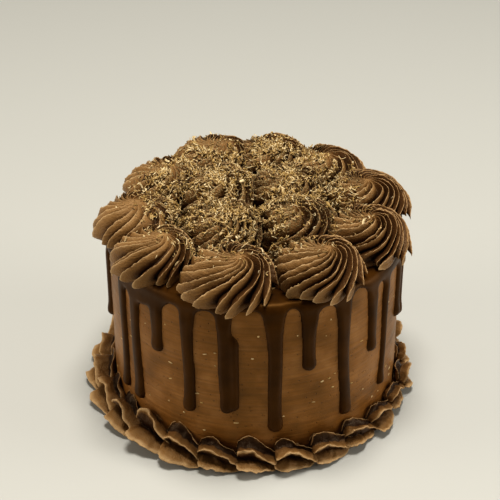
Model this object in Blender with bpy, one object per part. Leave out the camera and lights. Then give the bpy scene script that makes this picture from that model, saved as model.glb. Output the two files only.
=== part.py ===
# A tall round chocolate cake: a smooth buttercream-covered cake, a dark ganache glaze that
# runs down its side in drips, piped rosettes on top with chocolate shavings over them, and
# a piped shell border round the foot.
#
# Lengths are in millimetres and become metres as each mesh is made. Angles are in degrees,
# anticlockwise from +X as seen from above. The cake stands on z = 0, with its axis on Z.

import math
import random
from collections import namedtuple

import bmesh
import bpy
from mathutils import Matrix, Vector

MM = 0.001
GAP = 0.35
CREASE_ANGLE = 30.0

# The covered cake
CAKE_RADIUS = 80.4
CAKE_HEIGHT = 103.0
CAKE_EDGE_RADIUS = 3.5
CAKE_SIDES = 60

# The ganache glaze on it
GLAZE_ON_TOP = 1.7
GLAZE_ON_SIDE = 1.3
GLAZE_EDGE_RADIUS = 4.0
GLAZE_EDGE_TURNS = (90, 40, 0)
GLAZE_HEM_RISE = 2.5
GLAZE_HEM_THICKNESS = 0.8
GLAZE_HEM_ROUND = 1.0
GLAZE_FIT = 0.5
GLAZE_INNER_BEVEL = 2.4

# A drip's thickness at its middle and at its shoulders, where they are as a share of half
# its width, how far it has fallen where it is full, and its round tip
DRIP_THICKNESS = 2.1
DRIP_SHOULDER_THICKNESS = 1.5
DRIP_SHOULDER = 0.9
DRIP_SHOULDER_LIFT = 2.6
DRIP_FLARE = 1.5
DRIP_FULL_AT = 0.35
DRIP_BULB = 0.7
DRIP_TIP = 3.2

# Each drip of the shown side: angle, height of its tip, half its width, and the height of
# the hem between it and the next one
SHOWN_DRIPS = (
    (-173.5, 49.0, 3.2, 97.0),
    (-151.0, 22.5, 3.3, 90.0),
    (-142.5, 22.5, 3.5, 88.0),
    (-130.0, 63.0, 3.6, 97.0),
    (-116.1, 31.0, 3.5, 98.5),
    (-100.9, 34.5, 3.7, 100.5),
    (-83.0, 22.5, 4.0, 100.5),
    (-69.6, 60.5, 3.6, 98.0),
    (-55.7, 22.5, 3.6, 100.5),
    (-39.8, 55.5, 3.2, 96.0),
    (-30.1, 26.0, 2.5, 95.0),
    (-16.7, 58.5, 3.0, 97.0),
)
# The far side carries on at the same spacing, its drips as uneven as the shown ones
FAR_DRIPS = 13
FAR_DRIPS_FROM = -3.5
FAR_DRIPS_TO = 174.0
FAR_DRIP_TIPS = (23.0, 66.0)
FAR_DRIP_HALF_WIDTHS = (2.6, 3.6)
FAR_DRIP_SHIFT = 2.0
FAR_HEMS = (96.5, 100.5)
DRIP_SEED = 11
HEM_SEED = 12

# Piped rosettes. The rim ring holds ten, and four fill the middle.
ROSETTE_BASE = CAKE_HEIGHT + GLAZE_ON_TOP + GAP
ROSETTE_FINS = 14
ROSETTE_SLOPES = (12, 27, 43, 60, 76, 90)
ROSETTE_FULLNESS = 0.97
ROSETTE_CROWN = 0.95
FIN_DEPTH = 4.4
FIN_DEPTH_RANGE = (0.75, 1.2)
FIN_SHIFT = 0.16
FIN_CURL = 1.15
FIN_RIM_FLARE = 1.0
FIN_TIP_DROP = 1.6
FIN_CROWDING = 16.0
RIM_FROM = 0.6
RIM_LIFT = 0.2
FOOT_SHARE = 0.82
FOOT_VALLEY = 0.95
NIB_HEIGHT = 1.4
NIB_SHARE = 0.33
SQUEEZE_FROM = 0.8
SEAM_GAP = 0.2

# Each rosette: angle and distance of its middle from the cake's axis, its radius and
# height, the angle that its fins turn through from the middle to the rim, the side where
# its fins are closest together, and its seed
RIM_ROSETTES = (
    (-169.0, 63.5, 23.0, 19.0, 60.0, 160.0, 1),
    (-141.0, 67.5, 20.5, 16.5, 100.0, -170.0, 2),
    (-102.3, 63.8, 23.5, 16.5, 110.0, -135.0, 3),
    (-59.5, 63.5, 22.5, 16.5, 120.0, -120.0, 4),
    (-23.0, 63.0, 23.0, 17.0, 150.0, -90.0, 5),
    (10.0, 62.0, 22.5, 18.5, 140.0, -60.0, 6),
    (48.0, 59.0, 22.5, 15.5, 110.0, 40.0, 7),
    (81.0, 59.0, 22.0, 15.5, 100.0, 100.0, 8),
    (112.5, 61.5, 23.0, 16.5, 90.0, 130.0, 9),
    (149.0, 57.5, 23.0, 16.5, 80.0, 170.0, 10),
)
INNER_ROSETTES = (
    (-34.0, 27.5, 24.0, 17.0, 150.0, 0.0, 11),
    (-134.0, 25.0, 24.0, 16.0, 110.0, -90.0, 12),
    (134.0, 29.0, 24.0, 16.0, 90.0, 90.0, 13),
    (47.0, 29.0, 24.0, 16.0, 120.0, 180.0, 14),
)

# Chocolate shavings, the largest ones only, lying across crests on these rings
SHAVED_SLOPES = (27, 43, 60)
SHAVING_PLACES = 6
SHAVING_LENGTHS = (6.0, 9.0)
SHAVING_WIDTH = 1.7
SHAVING_THICKNESS = 1.1
SHAVING_CURL = 1.2
SHAVING_LIFT = 0.2
SHAVING_STATIONS = ((-0.5, 0.55), (-0.17, 1.0), (0.17, 1.0), (0.5, 0.55))
SHAVING_TILT = 0.35
SHAVING_SEED = 5
GOLDEN_ANGLE = 137.5

# The piped shell border
SHELLS = 26
SHELL_INNER = CAKE_RADIUS + GAP
SHELL_MIDDLE = 82.0
SHELL_CENTRE_HEIGHT = 8.0
SHELL_RADIUS = 10.0
SHELL_VALLEY = 0.56
SHELL_VALLEY_AFTER = 24.0
SHELL_SIZES = ((0.0, 0.72), (0.2, 1.05), (0.45, 1.08), (0.75, 0.93), (1.0, 0.7))
SHELL_FIN_ANGLES = (0.0, 47.0, 90.0)
SHELL_FIN_RANGE = (0.96, 1.04)
SHELL_SWELL = (0.94, 1.06)
SHELL_TURN = 18.0
SHELL_TILT = 7.0
SHELL_FOOT_LEAN = 0.4
SHELL_TOP_SLOPE = 4.5
SHELL_FOOT_SHARE = 0.72
SHELL_SEED = 21
# The border reaches out further on one side: the direction where it does most, and by how much
WIDER_TOWARDS = 200.0
WIDER_BY = 0.25

# Colour as linear RGB, and roughness
BUTTERCREAM = ((0.165, 0.072, 0.028), 0.55)
SIDE_BUTTERCREAM = ((0.150, 0.066, 0.026), 0.5)
GANACHE = ((0.034, 0.014, 0.006), 0.3)


def clear_scene():
    for obj in list(bpy.data.objects):
        bpy.data.objects.remove(obj)


def finish(name, look):
    """The food's material of that name, made once."""
    material = bpy.data.materials.get(name)
    if material is None:
        colour, roughness = look
        material = bpy.data.materials.new(name)
        material.use_nodes = True
        shader = material.node_tree.nodes["Principled BSDF"]
        shader.inputs["Base Color"].default_value = (*colour, 1.0)
        shader.inputs["Roughness"].default_value = roughness
        shader.inputs["Metallic"].default_value = 0.0
    return material


def polar(radius, angle, height):
    turn = math.radians(angle)
    return Vector((radius * math.cos(turn), radius * math.sin(turn), height))


def smooth_step(share):
    share = min(1.0, max(0.0, share))
    return share * share * (3 - 2 * share)


def make_object(name, bm, material):
    bmesh.ops.recalc_face_normals(bm, faces=bm.faces)
    mesh = bpy.data.meshes.new(name)
    bm.to_mesh(mesh)
    bm.free()
    mesh.materials.append(material)
    obj = bpy.data.objects.new(name, mesh)
    bpy.context.scene.collection.objects.link(obj)
    return obj


def ringed_solid(name, rings, material, first_point=None, last_point=None):
    """A closed skin over rings of points. Each end is closed by a fan to its point, or by a face."""
    bm = bmesh.new()
    made = [[bm.verts.new(point * MM) for point in ring] for ring in rings]
    around = len(made[0])
    for here, after in zip(made, made[1:]):
        for i in range(around):
            j = (i + 1) % around
            bm.faces.new((here[i], here[j], after[j], after[i]))
    for ring, point in ((made[0], first_point), (made[-1], last_point)):
        if point is None:
            bm.faces.new(ring)
            continue
        tip = bm.verts.new(point * MM)
        for i in range(around):
            bm.faces.new((ring[i], ring[(i + 1) % around], tip))
    return make_object(name, bm, material)


def shade(obj, crease_angle):
    obj.data.shade_smooth()
    obj.data.set_sharp_from_angle(angle=math.radians(crease_angle))


def make_cake():
    """The cake under its smooth buttercream, a plain round with a soft top edge."""
    corner = CAKE_EDGE_RADIUS
    profile = [(CAKE_RADIUS, 0.0)]
    for angle in (0, 45, 90):
        turn = math.radians(angle)
        profile.append(
            (
                CAKE_RADIUS - corner + corner * math.cos(turn),
                CAKE_HEIGHT - corner + corner * math.sin(turn),
            )
        )
    rings = [
        [polar(radius, 360 * i / CAKE_SIDES, height) for i in range(CAKE_SIDES)]
        for radius, height in profile
    ]
    cake = ringed_solid(
        "frosted_cake",
        rings,
        finish("side_buttercream", SIDE_BUTTERCREAM),
        first_point=Vector((0, 0, 0)),
        last_point=Vector((0, 0, CAKE_HEIGHT)),
    )
    shade(cake, CREASE_ANGLE)


def all_drips():
    """Every drip as angle, tip height, half width and hem after it, in order round the cake."""
    draw = random.Random(DRIP_SEED)
    hem_draw = random.Random(HEM_SEED)
    step = (FAR_DRIPS_TO - FAR_DRIPS_FROM) / (FAR_DRIPS - 1)
    drips = list(SHOWN_DRIPS)
    for i in range(FAR_DRIPS):
        angle = FAR_DRIPS_FROM + step * i + draw.uniform(-FAR_DRIP_SHIFT, FAR_DRIP_SHIFT)
        tip = draw.uniform(*FAR_DRIP_TIPS)
        half_width = draw.uniform(*FAR_DRIP_HALF_WIDTHS)
        drips.append((angle, tip, half_width, hem_draw.uniform(*FAR_HEMS)))
    return sorted(drips)


Column = namedtuple("Column", "angle low skin bulb end")


def hem_column(angle, low):
    return Column(angle, low, GLAZE_HEM_THICKNESS, 0.0, GLAZE_HEM_ROUND)


def glaze_columns():
    """The glaze's upright lines round the cake, five on each drip and one between two drips."""
    drips = all_drips()
    columns = []
    for i, (angle, tip, half_width, hem) in enumerate(drips):
        spread = math.degrees(half_width / CAKE_RADIUS)
        shoulder = tip + DRIP_SHOULDER_LIFT
        hem_before = drips[i - 1][3]
        columns.append(hem_column(angle - DRIP_FLARE * spread, hem_before - GLAZE_HEM_RISE))
        for share, low, skin in (
            (-DRIP_SHOULDER, shoulder, DRIP_SHOULDER_THICKNESS),
            (0.0, tip, DRIP_THICKNESS),
            (DRIP_SHOULDER, shoulder, DRIP_SHOULDER_THICKNESS),
        ):
            columns.append(Column(angle + share * spread, low, skin, DRIP_BULB, DRIP_TIP))
        columns.append(hem_column(angle + DRIP_FLARE * spread, hem - GLAZE_HEM_RISE))
        following = drips[(i + 1) % len(drips)][0] + (360 if i == len(drips) - 1 else 0)
        columns.append(hem_column((angle + following) / 2, hem))
    return columns


def make_glaze():
    """The ganache: a cap on the cake's top, a band over its edge and the drips, as one thin skin."""
    columns = glaze_columns()
    outer = CAKE_RADIUS + GLAZE_ON_SIDE
    inner = CAKE_RADIUS + GLAZE_FIT
    top = CAKE_HEIGHT + GLAZE_ON_TOP
    under = CAKE_HEIGHT + GAP
    edge = top - GLAZE_EDGE_RADIUS

    rings = []
    for turn in GLAZE_EDGE_TURNS:
        radius = outer - GLAZE_EDGE_RADIUS * (1 - math.cos(math.radians(turn)))
        height = edge + GLAZE_EDGE_RADIUS * math.sin(math.radians(turn))
        rings.append([polar(radius, column.angle, height) for column in columns])
    full = []
    bulbs = []
    hem = []
    for column in columns:
        skin = CAKE_RADIUS + column.skin
        full.append(polar(skin, column.angle, edge + (column.low - edge) * DRIP_FULL_AT))
        bulbs.append(polar(skin + column.bulb, column.angle, column.low + column.end))
        hem.append(polar(inner, column.angle, column.low))
    rings += [full, bulbs, hem]
    for radius, height in ((inner, under - GLAZE_INNER_BEVEL), (inner - GLAZE_INNER_BEVEL, under)):
        rings.append([polar(radius, column.angle, height) for column in columns])

    glaze = ringed_solid(
        "ganache_glaze",
        rings,
        finish("ganache", GANACHE),
        first_point=Vector((0, 0, top)),
        last_point=Vector((0, 0, under)),
    )
    shade(glaze, CREASE_ANGLE)


Rosette = namedtuple("Rosette", "middle radius height turn crowded_side seed")


def rosette_list():
    return [
        Rosette(polar(distance, angle, 0), *shape)
        for angle, distance, *shape in RIM_ROSETTES + INNER_ROSETTES
    ]


def seams_of(index, rosettes):
    """The upright planes where a rosette meets its neighbours, each as direction and distance."""
    rosette = rosettes[index]
    seams = []
    for other in rosettes[:index] + rosettes[index + 1 :]:
        between = other.middle - rosette.middle
        apart = between.length
        if apart > rosette.radius + other.radius + 2 * (FIN_DEPTH + FIN_RIM_FLARE):
            continue
        distance = (apart**2 + rosette.radius**2 - other.radius**2) / (2 * apart)
        seams.append((between / apart, distance - SEAM_GAP))
    return seams


def squeezed(radius, direction, seams):
    """A radius pressed in where a seam is near, so that it never reaches the seam."""
    limit = math.inf
    for seam_direction, distance in seams:
        facing = direction.dot(seam_direction)
        if facing > 0:
            limit = min(limit, distance / facing)
    start = SQUEEZE_FROM * limit
    if radius <= start:
        return radius
    room = limit - start
    return start + room * (1 - math.exp(-(radius - start) / room))


def rosette_fins(seed):
    """The place and strength of each fin: shares of a fin's spacing, and factors of its depth."""
    draw = random.Random(seed)
    shifts = [draw.uniform(-FIN_SHIFT, FIN_SHIFT) for _ in range(ROSETTE_FINS)]
    depths = [draw.uniform(*FIN_DEPTH_RANGE) for _ in range(ROSETTE_FINS)]
    return shifts, depths, draw.uniform(0, 360)


def fin_angle(rosette, column, out):
    """The direction of a fin's line from the rosette's middle, at a share of its radius."""
    shifts, _, start = rosette_fins(rosette.seed)
    at_rim = start + 360 / ROSETTE_FINS * (column + shifts[int(column) % ROSETTE_FINS])
    crowding = FIN_CROWDING * math.sin(math.radians(rosette.crowded_side - at_rim))
    return at_rim + crowding + rosette.turn * (1 - out**FIN_CURL)


def rosette_point(rosette, seams, slope, column, crest):
    """A point on a rosette's skin: slope is 0 at the top and 90 at the rim, crest 0 in a valley."""
    depths = rosette_fins(rosette.seed)[1]
    lean = math.radians(slope)
    out = math.sin(lean) ** ROSETTE_FULLNESS
    up = RIM_LIFT + (1 - RIM_LIFT) * math.cos(lean) ** ROSETTE_CROWN
    rim = smooth_step((out - RIM_FROM) / (1 - RIM_FROM))
    depth = FIN_DEPTH * depths[int(column) % ROSETTE_FINS] * smooth_step(out)
    relief = (crest - 0.5) * depth
    radius = rosette.radius * out + relief * math.sin(lean) + crest * FIN_RIM_FLARE * rim
    height = rosette.height * up + relief * math.cos(lean) - crest * FIN_TIP_DROP * rim
    height += NIB_HEIGHT * (1 - smooth_step(out / NIB_SHARE))
    direction = polar(1, fin_angle(rosette, column, out), 0)
    place = rosette.middle + direction * squeezed(radius, direction, seams)
    return Vector((place.x, place.y, ROSETTE_BASE + height))


def rosette_foot(rosette, seams, column, crest):
    radius = rosette.radius * FOOT_SHARE * (1.0 if crest else FOOT_VALLEY)
    direction = polar(1, fin_angle(rosette, column, 1), 0)
    place = rosette.middle + direction * squeezed(radius, direction, seams)
    return Vector((place.x, place.y, ROSETTE_BASE))


def shaving(name, place, along, up, length):
    """A thin sliver of chocolate, bent along its length."""
    side = up.cross(along).normalized()
    rings = []
    for share, size in SHAVING_STATIONS:
        sag = SHAVING_CURL * (2 * share) ** 2
        centre = place + along * (share * length) - up * sag
        half_side = side * (SHAVING_WIDTH / 2 * size)
        half_up = up * (SHAVING_THICKNESS / 2 * size)
        rings.append(
            [
                centre - half_side - half_up,
                centre + half_side - half_up,
                centre + half_side + half_up,
                centre - half_side + half_up,
            ]
        )
    return ringed_solid(name, rings, finish("buttercream", BUTTERCREAM))


def room_at(place, middle, seams):
    """How far a place on a rosette is from the nearest of its seams."""
    return min(distance - (place - middle).dot(direction) for direction, distance in seams)


def rosette_shavings(name, rosette, seams, collection):
    """The largest shavings on one rosette, spread by the golden angle, none across a seam."""
    draw = random.Random(SHAVING_SEED + rosette.seed)
    for i in range(SHAVING_PLACES):
        slope = SHAVED_SLOPES[i % len(SHAVED_SLOPES)]
        fin = round(i * GOLDEN_ANGLE * ROSETTE_FINS / 360)
        place = rosette_point(rosette, seams, slope, fin, 1)
        outward = (place - rosette.middle) * Vector((1, 1, 0))
        outward.normalize()
        up = (Vector((0, 0, 1)) + outward * SHAVING_TILT).normalized()
        heading = Matrix.Rotation(draw.uniform(0, math.pi), 3, up)
        along = heading @ up.cross(outward).normalized()
        longest = 2 * (room_at(place, rosette.middle, seams) - SHAVING_WIDTH)
        length = min(draw.uniform(*SHAVING_LENGTHS), longest)
        if length < SHAVING_LENGTHS[0]:
            continue
        piece = shaving(f"{name}_shaving_{i}", place + up * SHAVING_LIFT, along, up, length)
        bpy.context.scene.collection.objects.unlink(piece)
        collection.objects.link(piece)


def fuse(obj, collection):
    """Joins the collection's pieces to the object, and removes them."""
    joining = obj.modifiers.new("shavings", "BOOLEAN")
    joining.operation = "UNION"
    joining.operand_type = "COLLECTION"
    joining.collection = collection
    joining.solver = "EXACT"
    graph = bpy.context.evaluated_depsgraph_get()
    joined = bpy.data.meshes.new_from_object(obj.evaluated_get(graph))
    obj.modifiers.remove(joining)
    obj.data = joined
    for piece in list(collection.objects):
        bpy.data.objects.remove(piece)
    bpy.data.collections.remove(collection)


def make_rosette(name, index, rosettes):
    """A swirl of buttercream with sharp fins that turn as they run from its middle to its rim."""
    rosette = rosettes[index]
    seams = seams_of(index, rosettes)
    lines = [(step / 2, 1 - step % 2) for step in range(2 * ROSETTE_FINS)]
    rings = [
        [rosette_point(rosette, seams, slope, *line) for line in lines]
        for slope in ROSETTE_SLOPES
    ]
    rings.append([rosette_foot(rosette, seams, *line) for line in lines])
    foot = rosette.middle + Vector((0, 0, ROSETTE_BASE))
    piece = ringed_solid(
        name,
        rings,
        finish("buttercream", BUTTERCREAM),
        first_point=foot + Vector((0, 0, rosette.height + NIB_HEIGHT)),
        last_point=foot,
    )
    shavings = bpy.data.collections.new(name + "_shavings")
    bpy.context.scene.collection.children.link(shavings)
    rosette_shavings(name, rosette, seams, shavings)
    fuse(piece, shavings)
    shade(piece, CREASE_ANGLE)


def shell_section(angle, size, lean, draw):
    """One cross-section of a shell: three fins outside, flat against the cake and on the ground."""
    outline = []
    for fin, fin_angle in enumerate(SHELL_FIN_ANGLES):
        turn = math.radians(fin_angle + lean * (SHELL_FOOT_LEAN if fin == 0 else 1.0))
        reach = SHELL_RADIUS * size * draw.uniform(*SHELL_FIN_RANGE)
        outline.append((reach * math.cos(turn), reach * math.sin(turn)))
        turn += math.radians(SHELL_VALLEY_AFTER)
        reach = SHELL_RADIUS * size * SHELL_VALLEY
        outline.append((reach * math.cos(turn), reach * math.sin(turn)))
    outline.pop()
    wider = 1 + WIDER_BY * math.cos(math.radians(angle - WIDER_TOWARDS))
    across = [(SHELL_MIDDLE + x * wider, SHELL_CENTRE_HEIGHT + z) for x, z in outline]
    foot = SHELL_MIDDLE + SHELL_RADIUS * size * SHELL_FOOT_SHARE * wider
    back = across[-1][1] - SHELL_TOP_SLOPE
    section = [(SHELL_INNER, 0.0), (foot, 0.0), *across, (SHELL_INNER, back)]
    return [polar(max(radius, SHELL_INNER), angle, height) for radius, height in section]


def make_shell(index):
    """One shell of the border, a short ridged lump, thick at its middle and thin at its ends."""
    draw = random.Random(SHELL_SEED + index)
    swell = draw.uniform(*SHELL_SWELL)
    room = math.degrees(GAP / 2 / SHELL_MIDDLE)
    pitch = 360 / SHELLS
    rings = []
    for share, size in SHELL_SIZES:
        angle = pitch * index + room + (pitch - 2 * room) * share
        lean = SHELL_TURN * (0.5 - share) + SHELL_TILT
        rings.append(shell_section(angle, size * swell, lean, draw))
    name = f"border_shell_{index + 1:02d}"
    shell = ringed_solid(name, rings, finish("buttercream", BUTTERCREAM))
    shade(shell, CREASE_ANGLE)


def main():
    clear_scene()
    make_cake()
    make_glaze()
    rosettes = rosette_list()
    for index in range(len(rosettes)):
        make_rosette(f"rosette_{index + 1:02d}", index, rosettes)
    for index in range(SHELLS):
        make_shell(index)


main()
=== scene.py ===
# Chocolate drip cake: the finish of every surface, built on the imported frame
import math
import random

import bpy
import numpy as np
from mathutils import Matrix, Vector, noise
from mathutils.bvhtree import BVHTree


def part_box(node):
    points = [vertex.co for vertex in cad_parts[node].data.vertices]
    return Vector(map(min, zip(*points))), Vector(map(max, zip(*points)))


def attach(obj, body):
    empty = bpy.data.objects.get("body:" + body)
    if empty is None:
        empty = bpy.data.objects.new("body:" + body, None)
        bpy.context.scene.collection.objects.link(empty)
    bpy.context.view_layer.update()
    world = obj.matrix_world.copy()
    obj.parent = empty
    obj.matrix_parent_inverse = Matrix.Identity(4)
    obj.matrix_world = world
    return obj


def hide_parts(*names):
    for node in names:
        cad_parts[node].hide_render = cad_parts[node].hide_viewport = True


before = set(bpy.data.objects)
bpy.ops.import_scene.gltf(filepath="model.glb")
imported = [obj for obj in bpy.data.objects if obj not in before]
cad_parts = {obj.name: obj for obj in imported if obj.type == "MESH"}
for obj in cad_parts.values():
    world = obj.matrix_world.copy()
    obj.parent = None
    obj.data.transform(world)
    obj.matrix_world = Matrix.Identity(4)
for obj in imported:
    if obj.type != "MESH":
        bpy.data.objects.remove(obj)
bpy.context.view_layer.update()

mm = 0.001
farOff = 0.2  # metres, beyond the cake, where a ray that looks for its surface starts
body = "root"
noiseSeed = 3  # without one, the vectors of noise are others at each run
noise.seed_set(noiseSeed)


# Small tools

def polarPoint(radius, degrees, height):
    turn = np.radians(degrees)
    return np.stack([radius * np.cos(turn), radius * np.sin(turn), height + 0 * turn], axis=-1)


def smoothStep(share):  # eased, so level at 0 and at 1
    share = np.clip(share, 0.0, 1.0)
    return share * share * (3 - 2 * share)


def smoothMax(a, b, reach):  # the larger one, with a fillet where they meet
    blend = np.clip(0.5 + 0.5 * (a - b) / reach, 0, 1)
    return b + (a - b) * blend + reach * blend * (1 - blend) * 0.5


# Faces between rows of points, where each row closes on itself round the piece
def gridQuads(rows, columns):
    here = np.arange(rows - 1)[:, None] * columns + np.arange(columns)[None, :]
    beside = np.arange(rows - 1)[:, None] * columns + (np.arange(columns)[None, :] + 1) % columns
    quads = np.stack([here, beside, beside + columns, here + columns], axis=-1)
    return quads.reshape(-1, 4).tolist()


# Triangles from a closed ring of points to one point
def fan(ringStart, columns, tip, turned=False):
    faces = []
    for i in range(columns):
        a, b = ringStart + i, ringStart + (i + 1) % columns
        faces.append([b, a, tip] if turned else [a, b, tip])
    return faces


# The points that faces use, and the faces with their new numbers
def keepUsed(points, faces):
    used = np.zeros(len(points), bool)
    for face in faces:
        used[face] = True
    number = np.cumsum(used) - 1
    return points[used], [number[face].tolist() for face in faces]


# A smooth mesh that rides on the cake, with any tones of its points for its material
def makePiece(name, pointsInMm, faces, material, tones=None):
    mesh = bpy.data.meshes.new(name)
    mesh.from_pydata((np.asarray(pointsInMm) * mm).tolist(), [], faces)
    for toneName, values in (tones or {}).items():
        tone = mesh.attributes.new(toneName, "FLOAT", "POINT")
        tone.data.foreach_set("value", np.asarray(values, np.float32).ravel())
    mesh.validate()
    mesh.shade_smooth()
    mesh.materials.append(material)
    piece = bpy.data.objects.new(name, mesh)
    bpy.context.scene.collection.objects.link(piece)
    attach(piece, body)
    return piece


# Materials

def toLinear(hexColour):  # sRGB hex to linear RGBA
    channels = [int(hexColour[i:i + 2], 16) / 255 for i in (1, 3, 5)]
    return tuple(c / 12.92 if c <= 0.04045 else ((c + 0.055) / 1.055) ** 2.4 for c in channels) + (1.0,)


# One node: settings are its inputs' values, its own properties or a ramp's stops, and links are
# its inputs' sources. An input goes by its name, or by its number where two share a name, and a
# source may be a node, which stands for its first output.
def addNode(tree, kind, settings=None, links=None):
    node = tree.nodes.new("ShaderNode" + kind)
    for key, value in (settings or {}).items():
        if key == "stops":
            setStops(node.color_ramp.elements, value)
        elif isinstance(key, int) or key in node.inputs:
            node.inputs[key].default_value = value
        else:
            setattr(node, key, value)
    for key, source in (links or {}).items():
        output = source.outputs[0] if isinstance(source, bpy.types.Node) else source
        tree.links.new(output, node.inputs[key])
    return node


def setStops(elements, stops):
    while len(elements) < len(stops):
        elements.new(0.5)
    for element, (position, hexColour) in zip(elements, stops):
        element.position = position
        element.color = toLinear(hexColour)


def newMaterial(name):
    material = bpy.data.materials.new(name)
    material.use_nodes = True
    tree = material.node_tree
    tree.nodes.clear()
    return material, tree


def scaleFor(sizeInMm):  # object space is in metres
    return 1.0 / (sizeInMm * mm)


mixFrom, mixWith, mixed = 6, 7, 2  # numbers of a colour mix's two colours and of its result


# Whipped chocolate buttercream, piped through a star nozzle: satin, with air bubbles; its colour
# is a ramp over painted tones: painted shade where two fins meet, painted highlight on thin crests
pipedLook = {
    # from valley to crest: painted shade, the cream's own face colour, then a painted highlight
    "tones": [(0.0, "#27140a"), (0.35, "#593b1e"), (0.72, "#856137"), (1.0, "#c9a678")],
    "roughness": 0.42,
    "specular": 0.4,
    "sheen": "#ffe0b4",
    "ior": 1.46,
    "mottleMm": 9.0,
    "mottle": (0.86, 1.14),
    "grainMm": 0.8,
    "grainDepth": 0.0009,
    "bubbleMm": 2.4,
    "bubbleReach": 0.22,
    "bubbleDepth": 0.0008,
    "crumbMm": 1.0,
    "crumbSortMm": 0.6,
    "crumbTones": [(0.36, "#5a3a17"), (0.62, "#d9c08a")],
    "crumbDepth": 0.0012,
    "dustShare": 0.31,  # what the thickness of the dust adds to the crumbs' noise
    "dustShows": (0.78, 0.96),  # the sum at which a crumb starts to show, and hides the cream
}


def pipedButtercream():
    look = pipedLook
    material, tree = newMaterial("whipped_buttercream_piped")
    place = addNode(tree, "TexCoord").outputs["Object"]
    # the ridge attribute holds the painted tones: painted shade towards 0, painted highlight towards 1
    ridge = addNode(tree, "Attribute", {"attribute_name": "ridge"})
    tone = addNode(tree, "ValToRGB", {"stops": look["tones"]}, {"Fac": ridge.outputs["Fac"]})
    mottle = addNode(tree, "TexNoise", {"Scale": scaleFor(look["mottleMm"]), "Detail": 3.0},
                     {"Vector": place})
    shade = addNode(tree, "MapRange", {"To Min": look["mottle"][0], "To Max": look["mottle"][1]},
                    {"Value": mottle})
    plain = addNode(tree, "Mix", {"data_type": "RGBA", "blend_type": "MULTIPLY", "Factor": 1.0},
                    {mixFrom: tone, mixWith: shade})
    crumbs = addNode(tree, "TexNoise", {"Scale": scaleFor(look["crumbMm"]), "Detail": 3.0},
                     {"Vector": place})
    dust = addNode(tree, "Attribute", {"attribute_name": "dust"})
    fallen = addNode(tree, "Math", {"operation": "MULTIPLY_ADD", 1: look["dustShare"]},
                     {0: dust.outputs["Fac"], 2: crumbs})
    lying = addNode(tree, "MapRange",
                    {"From Min": look["dustShows"][0], "From Max": look["dustShows"][1]},
                    {"Value": fallen})
    sorts = addNode(tree, "TexNoise", {"Scale": scaleFor(look["crumbSortMm"]), "Detail": 2.0},
                    {"Vector": place})
    crumbTone = addNode(tree, "ValToRGB", {"stops": look["crumbTones"]}, {"Fac": sorts})
    dusted = addNode(tree, "Mix", {"data_type": "RGBA"},
                     {"Factor": lying, mixFrom: plain.outputs[mixed], mixWith: crumbTone})
    grain = addNode(tree, "TexNoise", {"Scale": scaleFor(look["grainMm"]), "Detail": 4.0},
                    {"Vector": place})
    bubbles = addNode(tree, "TexVoronoi", {"Scale": scaleFor(look["bubbleMm"])}, {"Vector": place})
    pits = addNode(tree, "MapRange", {"From Min": 0.0, "From Max": look["bubbleReach"]},
                   {"Value": bubbles})
    rough = addNode(tree, "Bump", {"Strength": 0.5, "Distance": look["grainDepth"]},
                    {"Height": grain})
    pitted = addNode(tree, "Bump", {"Strength": 0.35, "Distance": look["bubbleDepth"]},
                     {"Height": pits, "Normal": rough})
    strewn = addNode(tree, "Bump", {"Strength": 0.8, "Distance": look["crumbDepth"]},
                     {"Height": lying, "Normal": pitted})
    shader = addNode(tree, "BsdfPrincipled",
                     {"Roughness": look["roughness"], "IOR": look["ior"],
                      "Specular IOR Level": look["specular"], "Specular Tint": toLinear(look["sheen"])},
                     {"Base Color": dusted.outputs[mixed], "Normal": strewn})
    addNode(tree, "OutputMaterial", links={"Surface": shader})
    return material


# The same buttercream scraped smooth round the side: fine level streaks, small bubbles
# that the scraper opened, darkened inside with painted shade, and a soft sheen
scrapedLook = {
    "tones": [(0.3, "#694419"), (0.5, "#7f5425"), (0.72, "#96693a")],
    "roughness": (0.34, 0.5),
    "specular": 0.4,
    "sheen": "#ffd79a",
    "ior": 1.46,
    "cloudMm": 17.0,
    "streakMm": 1.6,
    "streakLength": 22.0,
    "streakDepth": 0.0006,
    "streakShade": 0.15,
    "streakNoise": (0.3, 0.7),  # the noise that gives the darkest streak, and the palest
    "pitMm": 3.4,
    "pitReach": (0.03, 0.14),
    "pitDepth": 0.0009,
    "pitShade": 0.35,
    "grainMm": 0.8,
    "grainDepth": 0.00015,
}


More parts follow.
